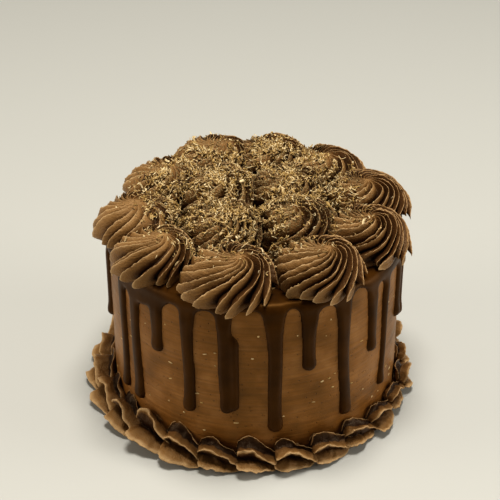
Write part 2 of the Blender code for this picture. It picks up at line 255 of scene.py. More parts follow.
def scrapedButtercream():
    look = scrapedLook
    material, tree = newMaterial("buttercream_scraped_smooth")
    place = addNode(tree, "TexCoord").outputs["Object"]
    clouds = addNode(tree, "TexNoise", {"Scale": scaleFor(look["cloudMm"]), "Detail": 5.0},
                     {"Vector": place})
    tone = addNode(tree, "ValToRGB", {"stops": look["tones"]}, {"Fac": clouds})
    level = addNode(tree, "Mapping",
                    {"Scale": (1 / look["streakLength"], 1 / look["streakLength"], 1.0)},
                    {"Vector": place})
    streaks = addNode(tree, "TexNoise", {"Scale": scaleFor(look["streakMm"]), "Detail": 3.0},
                      {"Vector": level})
    bubbles = addNode(tree, "TexVoronoi", {"Scale": scaleFor(look["pitMm"])}, {"Vector": place})
    pits = addNode(tree, "MapRange",
                   {"From Min": look["pitReach"][0], "From Max": look["pitReach"][1]},
                   {"Value": bubbles})
    grain = addNode(tree, "TexNoise", {"Scale": scaleFor(look["grainMm"]), "Detail": 3.0},
                    {"Vector": place})
    scraped = addNode(tree, "Bump", {"Strength": 0.5, "Distance": look["streakDepth"]},
                      {"Height": streaks})
    pitted = addNode(tree, "Bump", {"Strength": 0.6, "Distance": look["pitDepth"]},
                     {"Height": pits, "Normal": scraped})
    grained = addNode(tree, "Bump", {"Strength": 0.4, "Distance": look["grainDepth"]},
                      {"Height": grain, "Normal": pitted})
    sheen = addNode(tree, "MapRange",
                    {"To Min": look["roughness"][0], "To Max": look["roughness"][1]},
                    {"Value": streaks})
    drawn = addNode(tree, "MapRange",
                    {"From Min": look["streakNoise"][0], "From Max": look["streakNoise"][1],
                     "To Min": 1 - look["streakShade"], "To Max": 1 + look["streakShade"]},
                    {"Value": streaks})
    # painted shade inside the opened bubbles
    opened = addNode(tree, "MapRange", {"To Min": look["pitShade"]}, {"Value": pits})
    shade = addNode(tree, "Math", {"operation": "MULTIPLY"}, {0: drawn, 1: opened})
    colour = addNode(tree, "Mix", {"data_type": "RGBA", "blend_type": "MULTIPLY", "Factor": 1.0},
                     {mixFrom: tone, mixWith: shade})
    shader = addNode(tree, "BsdfPrincipled",
                     {"IOR": look["ior"], "Specular IOR Level": look["specular"],
                      "Specular Tint": toLinear(look["sheen"])},
                     {"Base Color": colour.outputs[mixed], "Normal": grained, "Roughness": sheen})
    addNode(tree, "OutputMaterial", links={"Surface": shader})
    return material


# Dark ganache, poured warm and set: smooth, with a soft gloss that fat bloom dulls in places
ganacheLook = {
    "tones": [(0.35, "#301b06"), (0.7, "#452909")],
    "roughness": (0.33, 0.5),
    "specular": 0.22,
    "sheen": "#ffb860",
    "ior": 1.48,
    "cloudMm": 14.0,
    "rippleMm": 7.0,
    "rippleDepth": 0.0004,
}


def setGanache():
    look = ganacheLook
    material, tree = newMaterial("ganache_poured_and_set")
    place = addNode(tree, "TexCoord").outputs["Object"]
    clouds = addNode(tree, "TexNoise", {"Scale": scaleFor(look["cloudMm"]), "Detail": 4.0},
                     {"Vector": place})
    tone = addNode(tree, "ValToRGB", {"stops": look["tones"]}, {"Fac": clouds})
    ripple = addNode(tree, "TexNoise", {"Scale": scaleFor(look["rippleMm"]), "Detail": 2.0},
                     {"Vector": place})
    wavy = addNode(tree, "Bump", {"Strength": 0.4, "Distance": look["rippleDepth"]},
                   {"Height": ripple})
    bloom = addNode(tree, "MapRange",
                    {"To Min": look["roughness"][0], "To Max": look["roughness"][1]},
                    {"Value": clouds})
    shader = addNode(tree, "BsdfPrincipled",
                     {"IOR": look["ior"], "Specular IOR Level": look["specular"],
                      "Specular Tint": toLinear(look["sheen"])},
                     {"Base Color": tone, "Normal": wavy, "Roughness": bloom})
    addNode(tree, "OutputMaterial", links={"Surface": shader})
    return material


# Milk chocolate grated off a bar: each shaving has its own shade, duller and paler than the
# bar because the grater tears it
gratedLook = {
    "tones": [(0.0, "#3a220e"), (0.5, "#b79559"), (1.0, "#f2dcae")],
    "roughness": 0.5,
    "specular": 0.4,
    "sheen": "#ffecd0",
    "ior": 1.47,
    "tearMm": 0.5,
    "tearDepth": 0.0002,
}


def gratedChocolate():
    look = gratedLook
    material, tree = newMaterial("milk_chocolate_grated")
    place = addNode(tree, "TexCoord").outputs["Object"]
    shade = addNode(tree, "Attribute", {"attribute_name": "shade"})
    tone = addNode(tree, "ValToRGB", {"stops": look["tones"]}, {"Fac": shade.outputs["Fac"]})
    torn = addNode(tree, "TexNoise", {"Scale": scaleFor(look["tearMm"]), "Detail": 2.0},
                   {"Vector": place})
    rough = addNode(tree, "Bump", {"Strength": 0.5, "Distance": look["tearDepth"]}, {"Height": torn})
    shader = addNode(tree, "BsdfPrincipled",
                     {"Roughness": look["roughness"], "IOR": look["ior"],
                      "Specular IOR Level": look["specular"], "Specular Tint": toLinear(look["sheen"])},
                     {"Base Color": tone, "Normal": rough})
    addNode(tree, "OutputMaterial", links={"Surface": shader})
    return material


pipedFinish = pipedButtercream()
scrapedFinish = scrapedButtercream()
ganacheFinish = setGanache()
gratedFinish = gratedChocolate()
print("materials made")


# The covered cake, its wall a little uneven as a hand-held scraper leaves it

cakeForm = {
    "radius": 80.4,
    "height": 103.0,
    "edgeRadius": 3.5,
    "columns": 150,
    "sideRows": 84,
    "edgeRows": 6,
    # the hand's slow swings and the scraper's bands: depth, how often round the side, and height
    "swings": (0.35, 2.6, 30.0),
    "bands": (0.14, 1.1, 2.4),
    "bandShift": 7.0,
    "evenFoot": 4.0,
    "evenTop": 8.0,
}


# Radius, height and outward lean at a length measured up the coat, over its edge and inwards
def coatPlace(upTheCoat):
    form = cakeForm
    corner = form["edgeRadius"]
    side = form["height"] - corner
    bend = corner * math.pi / 2
    up = np.asarray(upTheCoat, float)
    turn = np.clip((up - side) / bend, 0, 1) * math.pi / 2
    inwards = np.clip(up - side - bend, 0, None)
    radius = form["radius"] - corner * (1 - np.cos(turn)) - inwards
    height = np.minimum(up, side) + corner * np.sin(turn)
    return radius, height, turn


def makeCake():
    form = cakeForm
    corner = form["edgeRadius"]
    side = form["height"] - corner
    top = side + corner * math.pi / 2
    up = np.concatenate([np.linspace(0, side, form["sideRows"]),
                         np.linspace(side, top, form["edgeRows"])[1:]])
    radius, height, _ = coatPlace(up)
    degrees = np.arange(form["columns"]) * 360 / form["columns"]
    swingDepth, swingOften, swingTall = form["swings"]
    bandDepth, bandOften, bandTall = form["bands"]
    points = []
    for r, z in zip(radius, height):
        fade = min(1.0, z / form["evenFoot"])
        fade *= min(1.0, max(0.0, (form["height"] - z) / form["evenTop"]))
        for a in degrees:
            x, y = math.cos(math.radians(a)), math.sin(math.radians(a))
            swing = Vector((x * swingOften, y * swingOften, z / swingTall))
            band = Vector((x * bandOften, y * bandOften, z / bandTall + form["bandShift"]))
            reach = r + (noise.noise(swing) * swingDepth + noise.noise(band) * bandDepth) * fade
            points.append((x * reach, y * reach, z))
    rows = len(up)
    faces = gridQuads(rows, form["columns"])
    points += [(0, 0, 0), (0, 0, form["height"])]
    faces += fan(0, form["columns"], len(points) - 2, turned=True)
    faces += fan((rows - 1) * form["columns"], form["columns"], len(points) - 1)
    piece = makePiece("scraped_buttercream_cake", points, faces, scrapedFinish)
    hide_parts("frosted_cake")
    return piece


cake = makeCake()
print("cake made")


# Ganache, poured over the top and run down the side in drips

ganacheForm = {
    "columns": 780,
    "rowMm": 0.8,
    "lowest": 21.0,
    "topRings": [0.0, 3.0, 9.0, 22.0, 45.0, 70.0],  # how far in from the edge
    # how thick it is on top, over the edge and on a drip, and what a drip's end adds
    "topMm": 1.7,
    "bandMm": 1.35,
    "dripMm": 2.1,
    "bulbMm": 0.7,
    "roundMm": 2.9,
    "topBlend": 5.0,
    "dripFrom": 97.0,
    "dripBlend": 8.0,
    # how a drip narrows below its shoulder, swells at its end, wavers and meets the hem
    "runFrom": 98.0,
    "neck": 0.9,
    "swell": 0.14,
    "swellUp": 4.0,
    "swellReach": 4.5,
    "shoulder": 0.7,
    "shoulderFall": 9.0,
    "waver": 0.25,
    "waverMm": 9.0,
    "waverShift": 2.1,
    "fillet": 6.5,
    "twinSlant": 0.5,
    # how its skin sinks into the cake beyond the outline
    "under": 0.6,
    "sink": 0.8,
    "backGap": 0.1,
    "farDrips": 13,
    "farFrom": -3.5,
    "farTo": 174.0,
    "farTips": (23.0, 66.0),
    "farHalfWidths": (2.6, 3.6),
    "farShift": 2.0,
    "farHems": (96.5, 101.5),
    "seed": 11,
    # angle, tip height, half width, how far it wanders on its way down, and the height of
    # the hem between it and the next one
    "shown": [
        (-173.5, 49.0, 3.2, 0.0, 97.0), (-151.0, 22.5, 3.4, 0.5, 90.0),
        (-142.5, 22.5, 3.8, 1.2, 88.0), (-130.0, 63.0, 3.7, 0.0, 97.0),
        (-116.1, 31.0, 3.5, 0.4, 98.5), (-102.0, 34.5, 3.3, 0.8, 101.0),
        (-83.0, 22.5, 4.0, 0.6, 101.0), (-69.6, 60.5, 3.6, 0.0, 98.0),
        (-55.7, 22.5, 3.7, 2.6, 101.0), (-39.8, 55.5, 3.3, 0.0, 96.0),
        (-30.1, 26.0, 2.5, -1.6, 95.0), (-16.7, 58.5, 3.0, 0.0, 97.0),
    ],
    # runs that leave the side of another drip, with the height where each begins
    "twins": [(-97.6, 37.0, 2.7, -0.4, 79.0)],
}


def allDrips():
    form = ganacheForm
    draw = random.Random(form["seed"])
    hemDraw = random.Random(form["seed"] + 1)
    step = (form["farTo"] - form["farFrom"]) / (form["farDrips"] - 1)
    drips = list(form["shown"])
    for i in range(form["farDrips"]):
        angle = form["farFrom"] + step * i + draw.uniform(-form["farShift"], form["farShift"])
        tip = draw.uniform(*form["farTips"])
        half = draw.uniform(*form["farHalfWidths"])
        drips.append((angle, tip, half, 0.0, hemDraw.uniform(*form["farHems"])))
    return sorted(drips)


# How far inside the ganache's outline each place is, in mm, and how far it is on a drip's end
def ganacheDepth(degrees, up):
    form = ganacheForm
    drips = allDrips()
    angles = np.array([drip[0] for drip in drips])
    following = np.append(angles[1:], angles[0] + 360)
    hem = np.interp(degrees, (angles + following) / 2, [drip[4] for drip in drips], period=360)
    inside = up - hem
    bulb = np.zeros_like(inside)
    runFrom, reach = form["runFrom"], form["swellReach"]
    for number, (angle, tip, half, wander, top) in enumerate(drips + form["twins"]):
        run = np.clip((runFrom - up) / (runFrom - tip), 0, 1)
        waver = form["waver"] * np.sin(up / form["waverMm"] + number * form["waverShift"])
        middle = angle + wander * run + waver
        across = ((degrees - middle + 180) % 360 - 180) * math.pi / 180 * cakeForm["radius"]
        swell = form["swell"] * np.exp(-((up - tip - form["swellUp"]) / reach) ** 2)
        fallen = np.maximum(runFrom - up, 0) / form["shoulderFall"]
        swell = swell + form["shoulder"] * np.exp(-fallen)
        width = half * (form["neck"] + swell)
        end = tip + half
        drip = width - np.abs(across)
        drip = np.where(up < end, half - np.hypot(across, up - end), drip)
        if number >= len(drips):
            drip = np.where(up > top, half - np.hypot(across, (up - top) * form["twinSlant"]), drip)
        inside = smoothMax(inside, drip, form["fillet"])
        bulb = np.maximum(bulb, np.exp(-((up - end) / reach) ** 2) * np.clip(drip / half + 0.5, 0, 1))
    return inside, bulb


def makeGanache():
    form = ganacheForm
    side = cakeForm["height"] - cakeForm["edgeRadius"]
    bendTop = side + cakeForm["edgeRadius"] * math.pi / 2
    up = np.concatenate([np.arange(form["lowest"], bendTop, form["rowMm"]),
                         bendTop + np.array(form["topRings"])])
    degrees = np.arange(form["columns"]) * 360 / form["columns"]
    upGrid, degreeGrid = np.meshgrid(up, degrees, indexing="ij")
    inside, bulb = ganacheDepth(degreeGrid, upGrid)
    curve = np.sqrt(1 - (1 - np.clip(inside / form["roundMm"], 0, 1)) ** 2)
    onTop = smoothStep((upGrid - side) / form["topBlend"])
    onDrip = smoothStep((form["dripFrom"] - upGrid) / form["dripBlend"])
    full = form["bandMm"] + (form["topMm"] - form["bandMm"]) * onTop
    full = full + (form["dripMm"] - form["bandMm"]) * onDrip + form["bulbMm"] * bulb
    skin = np.where(inside > 0, full * curve, np.maximum(inside * form["sink"], -form["under"]))
    radius, height, turn = coatPlace(upGrid)
    outer = polarPoint(radius + skin * np.cos(turn), degreeGrid, height + skin * np.sin(turn))
    back = -form["under"] - form["backGap"]
    inner = polarPoint(radius + back * np.cos(turn), degreeGrid, height + back * np.sin(turn))

    rows, columns = upGrid.shape
    quads = np.array(gridQuads(rows, columns))
    kept = (inside.ravel()[quads] > 0).any(axis=1)
    quads = quads[kept]
    count = rows * columns
    faces = quads.tolist() + (quads[:, ::-1] + count).tolist()
    # the hem and the drips' edges are closed to the back, where a face has no neighbour
    edges = np.concatenate([quads[:, [i, (i + 1) % 4]] for i in range(4)])
    paired = set(map(tuple, edges[:, ::-1].tolist()))
    for a, b in edges.tolist():
        if (a, b) not in paired and a < count - columns:
            faces.append([b, a, a + count, b + count])
    lastRing = (rows - 1) * columns
    middles = np.array([[0, 0, height[-1, 0] + form["topMm"]], [0, 0, height[-1, 0] + back]])
    points = np.concatenate([outer.reshape(-1, 3), inner.reshape(-1, 3), middles])
    faces += fan(lastRing, columns, 2 * count)
    faces += fan(lastRing + count, columns, 2 * count + 1, turned=True)
    points, faces = keepUsed(points, faces)
    piece = makePiece("poured_ganache", points, faces, ganacheFinish)
    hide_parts("ganache_glaze")
    return piece


ganache = makeGanache()
print("ganache made")


# Where the grated chocolate fell on the rosettes: thickest in the middle, in patches

pileForm = {
    "middle": (-4.0, 9.0),
    "fullTo": 42.0,
    "fade": 18.0,
    "dustFade": 32.0,
    "reach": 88.0,
    "thickest": 0.7,
    "patchMm": 8.0,
    "patches": 2.8,
    "patchShift": 3.0,
    "nearby": 3.5,  # places this far round a spot tell how deep in a groove it is
    "groove": 0.4,
    "clear": 0.88,  # share that keeps out of grooves deeper than that
    "filled": 0.2,
    # places that stayed nearly bare: to the right, back and radius
    "bare": [(31.0, -24.0, 17.0), (69.0, 10.0, 17.0), (-17.0, 65.0, 17.0), (-3.0, 2.0, 9.0),
             (-74.0, -16.0, 16.0), (-26.0, -33.0, 8.0), (-60.0, 38.0, 14.0), (6.0, 18.0, 8.0),
             (30.0, 30.0, 8.0), (-45.0, -28.0, 9.0), (48.0, 50.0, 12.0)],
    "bareShare": 0.12,
}


def pileAt(x, y, fade):  # how thickly it lies there, from 0 to 1
    beyond = np.hypot(x - pileForm["middle"][0], y - pileForm["middle"][1]) - pileForm["fullTo"]
    return np.exp(-((np.maximum(beyond, 0) / fade) ** 2))


# Rosettes, each one swirl from a star nozzle that started in its middle

rosetteForm = {
    "fins": 16,
    "rowsToRim": 46,
    "rowsUnder": 12,
    "rowsGather": 0.9,
    # its outline, mostly as powers and shares of its height and radius
    "fullness": 0.97,
    "crown": 0.95,
    "rimLift": 0.2,
    "footShare": 0.78,
    "footCurve": 1.3,
    "underLean": 70.0,
    "underFade": (1.5, 0.8),
    # its fins
    "finDepth": 6.6,
    "valleyShare": 0.6,
    "crestAt": 0.34,
    "rounded": 0.55,
    "lean": 8.0,
    "curl": 1.15,
    "crowding": 14.0,
    "unevenFins": 0.22,
    "unevenDepths": (0.7, 1.25),
    "unevenTurn": 0.4,
    "unevenMost": 50.0,
    "unevenSide": -20.0,
    "wobbleDegrees": 4.0,
    "wobbles": 5.0,
    "phases": (0.0, 6.3),
    # their ends round the rim
    "rimFrom": 0.6,
    "flares": (0.0, 2.4),
    "tipDrop": 0.9,
    "pointed": 3.0,
    "shallower": 0.32,
    "hook": 7.0,
    "mouthDepth": 2.2,
    "nib": 1.4,
    "nibShare": 0.33,
    "nibTip": 0.9,
    # how neighbours press on each other
    "neighbourGap": 14.0,
    "squeezeFrom": 0.8,
    "overlap": 2.0,
    # what the nozzle tore: waves in each mm and depth
    "tears": [(0.5, 0.8), (1.9, 0.5)],
    "crestRough": 0.9,
    "lumps": (0.09, 0.9),
    "grit": (1.1, 0.24),
    "overhangFrom": 83.0,
    "overhangDrop": 0.3,
    "lowest": -3.0,
    # a painted highlight on the smooth hub, painted shade on the foot underneath, and the dust on hub
    # and valleys
    "paintedHubHighlight": 0.76,
    "paintedFootShade": 0.2,
    "hubDust": 0.5,
    "valleyDust": 0.3,
}
# Each rosette's radius, the turn of its fins, the side where they crowd, how far the nozzle's
# last turn pushed its hub to the right and back, the share of the radius where its fins reach
# their depth, and how deep they are
rosetteLooks = {
    "rosette_01": (23.0, 66.0, 160.0, (-2.0, 0.0), 0.85, 0.7),
    "rosette_02": (20.5, 95.0, -170.0, (4.5, 1.0), 0.85, 1.0),
    "rosette_03": (23.5, 100.0, -135.0, (5.5, 0.5), 0.6, 1.0),
    "rosette_04": (22.5, 120.0, -120.0, (5.0, 1.5), 0.5, 1.0),
    "rosette_05": (23.0, 150.0, -90.0, (3.0, 1.0), 0.4, 1.05),
    "rosette_06": (22.5, 140.0, -60.0, (0.0, 0.0), 0.5, 0.9),
    "rosette_07": (22.5, 110.0, 40.0, (0.0, 0.0), 0.6, 0.8),
    "rosette_08": (22.0, 100.0, 100.0, (2.0, 0.0), 0.7, 0.8),
    "rosette_09": (23.0, 90.0, 130.0, (5.0, 0.0), 0.75, 0.6),
    "rosette_10": (23.0, 80.0, 170.0, (2.0, 0.0), 0.75, 0.7),
    "rosette_11": (24.0, 150.0, 0.0, (-2.0, 1.0), 0.4, 1.0),
    "rosette_12": (24.0, 110.0, -90.0, (0.0, 0.0), 0.55, 0.95),
    "rosette_13": (24.0, 90.0, 90.0, (0.0, 0.0), 0.55, 0.9),
    "rosette_14": (24.0, 120.0, 180.0, (0.0, 0.0), 0.55, 0.9),
}
# One fin, by its share from valley to crest on its hollow side and from crest to valley on its
# lit side, with its painted tone along both: painted shade on the hollow side, and a painted
# highlight at the crest that darkens to painted shade towards the next valley
finForm = {
    "rising": [0.0, 0.14, 0.28, 0.42, 0.56, 0.7, 0.83, 0.94],
    "falling": [0.0, 0.025, 0.08, 0.16, 0.27, 0.4, 0.54, 0.68, 0.81, 0.92],
    "steep": 74.0,
    "risingPower": 1.6,
    "fallingPower": 0.9,
    "inShade": (0.02, 0.3),
    "lit": [(0, 1), (0.03, 0.92), (0.09, 0.76), (0.3, 0.72), (0.55, 0.58), (0.8, 0.3), (1, 0.05)],
}


def peakOf(node):  # a rosette's highest point, which is over its middle, in mm
    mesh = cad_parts[node].data
    peak = max(mesh.vertices, key=lambda vertex: vertex.co.z)
    return np.array(peak.co) / mm


# Where a rosette meets its neighbours: directions and distances of upright planes
def seamsOf(node, peaks):
    radius = rosetteLooks[node][0]
    seams = []
    for other, place in peaks.items():
        between = place[:2] - peaks[node][:2]
        apart = np.hypot(*between)
        otherRadius = rosetteLooks[other][0]
        if other == node or apart > radius + otherRadius + rosetteForm["neighbourGap"]:
            continue
        distance = (apart ** 2 + radius ** 2 - otherRadius ** 2) / (2 * apart)
        seams.append((between / apart, distance + rosetteForm["overlap"]))
    return seams


# Radii pressed in where a neighbour stands in the way
def squeezed(radius, degrees, seams):
    free, grazing = 1e3, 0.05
    limit = np.full_like(radius, free)
    for direction, distance in seams:
        facing = np.cos(np.radians(degrees)) * direction[0] + np.sin(np.radians(degrees)) * direction[1]
        ahead = distance / np.maximum(facing, grazing)
        limit = np.minimum(limit, np.where(facing > grazing, ahead, free))
    start = rosetteForm["squeezeFrom"] * limit
    room = limit - start
    pressed = start + room * (1 - np.exp(-np.maximum(radius - start, 0) / room))
    return np.where(radius > start, pressed, radius)


# One fin from valley to valley: its points' places, heights, hollow side and painted tones, as shares
def finSection():
    crest = rosetteForm["crestAt"]
    rising, falling = np.array(finForm["rising"]), np.array(finForm["falling"])
    steep = math.radians(finForm["steep"])
    down = (np.sin((1 - falling) * steep) / math.sin(steep)) ** finForm["fallingPower"]
    down = down * rosetteForm["rounded"] + (1 - falling) * (1 - rosetteForm["rounded"])
    place = np.concatenate([rising * crest, crest + falling * (1 - crest)])
    ridge = np.concatenate([rising ** finForm["risingPower"], down])
    hollow = np.concatenate([np.sin(rising * math.pi), 0 * falling])
    # painted shade on the hollow side; painted highlight at the crest fading to painted shade on the lit
    # side
    darkest, gain = finForm["inShade"]
    tone = np.concatenate([darkest + gain * rising ** 2, np.interp(falling, *zip(*finForm["lit"]))])
    return place, ridge, hollow, tone


def makeRosette(node, number, peaks):
    form = rosetteForm
    size, turn, crowdedSide, hub, opening, deep = rosetteLooks[node]
    middle = peaks[node][:2]
    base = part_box(node)[0].z / mm
    tall = peaks[node][2] - base - form["nib"]
    draw = random.Random(number)
    fins = form["fins"]
    shifts = np.array([draw.uniform(-form["unevenFins"], form["unevenFins"]) for _ in range(fins)])
    depths = np.array([draw.uniform(*form["unevenDepths"]) * deep for _ in range(fins)])
    start = draw.uniform(0, 360)
    phases = np.array([draw.uniform(*form["phases"]) for _ in range(fins)])
    flares = np.array([draw.uniform(*form["flares"]) for _ in range(fins)])

    # each column of points is a place on a fin, and each row a ring from the hub to the foot
    share, ridge, hollow, tone = finSection()
    column = (np.arange(fins)[:, None] - 0.5 + share[None, :]).ravel()
    ridge = np.tile(ridge, fins)
    hollow = np.tile(hollow, fins)
    tone = np.tile(tone, fins)
    crests = np.arange(fins) + form["crestAt"] - 0.5
    shift = np.interp(column, crests, shifts, period=fins)
    strength = np.interp(column, crests, depths, period=fins)
    phase = phases[np.round(column).astype(int) % fins]
    flare = np.interp(column, crests, flares, period=fins)
    atRim = start + 360 / fins * (column + shift)
    atRim = atRim + form["crowding"] * np.sin(np.radians(crowdedSide - atRim))

    slope = np.linspace(0, 1, form["rowsToRim"] + 1)[1:] ** form["rowsGather"] * 90
    lean = np.radians(slope)
    out = np.sin(lean) ** form["fullness"]
    up = form["rimLift"] + (1 - form["rimLift"]) * np.cos(lean) ** form["crown"]
    under = np.linspace(0, 1, form["rowsUnder"] + 1)[1:]
    footOut = 1 - (1 - form["footShare"]) * under ** form["footCurve"]
    footUp = form["rimLift"] * (1 - under) ** form["footCurve"]
    fadePower, fadeShare = form["underFade"]
    out = np.concatenate([out, footOut])[:, None]
    up = np.concatenate([up, footUp])[:, None]
    lean = np.concatenate([lean, np.radians(90 + form["underLean"] * under)])[:, None]
    fade = np.concatenate([np.ones(form["rowsToRim"]), 1 - under ** fadePower * fadeShare])[:, None]

    rim = smoothStep((out - form["rimFrom"]) / (1 - form["rimFrom"]))
    wobble = form["wobbleDegrees"] * np.sin(out * form["wobbles"] + phase) * out
    uneven = min(form["unevenTurn"], form["unevenMost"] / turn)
    turned = turn * (1 + uneven * np.cos(np.radians(atRim - form["unevenSide"])))
    degrees = atRim + turned * (1 - out ** form["curl"]) + wobble
    opened = smoothStep(out / opening)
    degrees = degrees - (form["lean"] * opened + form["hook"] * rim * (flare - 1)) * ridge ** 2
    depth = form["finDepth"] * strength * opened * fade * (1 - form["shallower"] * rim)
    relief = (ridge - form["valleyShare"]) * depth - hollow * form["mouthDepth"] * rim * fade
    tip = ridge ** form["pointed"] * rim * fade
    radius = size * out + relief * np.sin(lean) + flare * tip
    height = tall * up + relief * np.cos(lean) - form["tipDrop"] * flare * tip
    height = height + form["nib"] * (1 - smoothStep(out / form["nibShare"]))
    radius = squeezed(radius, degrees, seamsOf(node, peaks))
    towardsHub = (1 - smoothStep(out)) * fade
    x = middle[0] + radius * np.cos(np.radians(degrees)) + hub[0] * towardsHub
    y = middle[1] + radius * np.sin(np.radians(degrees)) + hub[1] * towardsHub
    over = np.maximum(np.hypot(x, y) - form["overhangFrom"], 0)
    z = np.maximum(base + height - over * form["overhangDrop"], base + form["lowest"])

    rows, columns = x.shape
    points = np.stack([x, y, z], axis=-1).reshape(-1, 3)
    dust = pileAt(x, y, pileForm["dustFade"]) * np.clip(form["valleyDust"] + ridge, 0, 1) * fade
    ridges = (ridge * opened * fade).ravel()
    # painted tones: the fins' painted shade and highlight, darkened further as painted shade where the
    # fins fade under the rim, and a painted highlight where the hub is still smooth
    tones = (tone * opened * fade + form["paintedHubHighlight"] * (1 - opened)).ravel()
    lumpWaves, lumpDepth = form["lumps"]
    gritWaves, gritDepth = form["grit"]
    for i, place in enumerate(points):
        spot = Vector(place)
        torn = sum(noise.noise(spot * waves) * amount for waves, amount in form["tears"])
        lump = noise.noise_vector(spot * lumpWaves) * lumpDepth
        points[i] += lump + noise.noise_vector(spot * gritWaves) * gritDepth
        points[i, 2] += form["crestRough"] * torn * ridges[i] ** 3
    faces = [face[::-1] for face in gridQuads(rows, columns)]
    hubPlace = [middle[0] + hub[0], middle[1] + hub[1], base + tall + form["nib"] * form["nibTip"]]
    points = np.concatenate([points, [hubPlace, [*middle, base]]])
    faces += fan(0, columns, rows * columns)
    faces += fan((rows - 1) * columns, columns, rows * columns + 1, turned=True)
    # the ridge attribute carries these painted tones, with a painted highlight at the hub's point and
    # painted shade at the foot's
    piece = makePiece("piped_" + node, points, faces, pipedFinish,
                      {"ridge": np.concatenate([tones, [form["paintedHubHighlight"], form["paintedFootShade"]]]),
                       "dust": np.concatenate([dust.ravel(), [form["hubDust"], 0.0]])})
    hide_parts(node)
    return piece


peaks = {node: peakOf(node) for node in rosetteLooks}
rosettes = [makeRosette(node, number + 1, peaks) for number, node in enumerate(rosetteLooks)]
print("rosettes made:", len(rosettes))


# The shell border: each shell starts as a fat head over the last one's tail and is pulled
# off to the right, as seen from outside

shellForm = {
    "count": 26,
    "middleRadius": 83.0,
    "middleHeight": 7.4,
    # each fin's angle in the section, its reach, how far its edge droops and how far it arches
    "fins": [
        (-18.0, 11.7, 0.0, 6.0), (44.0, 11.8, 8.0, 26.0), (96.0, 12.2, 12.0, 10.0),
        (134.0, 10.5, 0.0, 0.0),
    ],
    # angle and reach of the valleys before, between and after the fins: the one under the
    # middle fin is a deep hollow
    "valleys": [(-38.0, 5.0), (16.0, 2.0), (78.0, 7.4), (114.0, 6.5), (152.0, 5.0)],
    "steps": [0.06, 0.14, 0.23, 0.34, 0.48, 0.64, 0.82],  # points from an edge down to a valley
    "sharpness": 2.2,
    "edgeRound": 0.05,
    "archPower": 0.6,
    "droopPower": 1.5,
    "unevenFins": (0.84, 1.12),
    # its painted tone under an edge, which is painted shade, and above it, a painted highlight at the
    # edge that fades towards the valley, and how a valley's reach lets more painted light in
    "below": [(0, 1), (0.06, 0.85), (0.14, 0.16), (0.3, 0.02), (1, 0.0)],
    "above": [(0, 1), (0.08, 0.92), (0.18, 0.7), (0.4, 0.56)],
    "lastAbove": (0.75, 0.2, 0.7),
    "litValleys": [(2.0, 0.0), (7.4, 0.42)],
    "firstBelow": 0.3,
    # how strong the painted light above each edge is, and the painted shade at the foot
    "paintedLightScale": 0.95,
    "paintedFootShade": 0.1,
    "swing": 14.0,
    "swingFrom": 0.45,
    "tilts": 9.0,
    "swells": (0.92, 1.08),
    "arch": (1.05, 0.8, 0.45),  # length, how early it rises, and how far its ends turn down
    "sections": 34,
    "gather": 1.25,
    "size": [(0.0, 0.45), (0.03, 0.7), (0.08, 0.9), (0.18, 1.03), (0.32, 1.05), (0.5, 0.96),
             (0.7, 0.82), (0.9, 0.7), (1.05, 0.58), (1.2, 0.36)],
    "tail": 1.2,
    "fall": 3.4,
    "fallFrom": 0.2,
    "fallOver": 0.9,
    "widerFrom": 200.0,  # the piping hand leaned out there
    "wider": 0.25,
    "turned": {16: (1.2, 32.0), 17: (1.05, 8.0)},  # where the ring was closed
    "inCake": 0.6,
    "apart": 0.01,
    "lowest": 0.3,
    "footHeight": 0.1,
    "footOut": 2.0,
    "ground": 0.05,
    "groundFade": 4.0,
    "lumps": [(0.13, 1.5), (0.36, 0.8)],  # waves in each mm and depth
    "torn": (0.9, 0.5),
    "seed": 21,
}


# One cross-section: points out from and above the shell's own middle line, their ridge and painted tone
def shellOutline(form, roll, size, strengths, arch):
    angles, reaches, ridges, tones = [], [], [], []
    before = np.array([1.0] + form["steps"][::-1])
    after = np.array([0.0] + form["steps"])
    away = np.concatenate([before, after])
    lastAt, lastLeast, lastGain = form["lastAbove"]
    for number, (angle, finReach, droop, arched) in enumerate(form["fins"]):
        (angleBefore, reachBefore), (angleAfter, reachAfter) = form["valleys"][number:number + 2]
        steps = np.concatenate([before * (angleBefore - angle), after * (angleAfter - angle)])
        floor = np.concatenate([reachBefore + 0 * before, reachAfter + 0 * after])
        ridge = (1 - np.sqrt(away ** 2 + form["edgeRound"] ** 2)).clip(0) ** form["sharpness"]
        reach = floor + (finReach * strengths[number] - floor) * ridge
        lifted = arched * arch * ridge ** form["archPower"] - droop * ridge ** form["droopPower"]
        angles += (angle + roll + steps + lifted).tolist()
        reaches += (reach * size).tolist()
        ridges += ridge.tolist()
        # painted shade under each edge, and painted light above it that reaches further into a wide
        # valley
        below = np.interp(before, *zip(*form["below"])) if number else form["firstBelow"] + 0 * before
        lit = np.interp(reachAfter, *zip(*form["litValleys"]))
        towardsValley = form["above"] + [(lastAt, lastLeast + lastGain * lit), (1, lit)]
        above = np.interp(after, *zip(*towardsValley))
        tones += below.tolist() + (above * form["paintedLightScale"]).tolist()
    turn = np.radians(angles)
    return np.cos(turn) * reaches, np.sin(turn) * reaches, np.array(ridges), tones


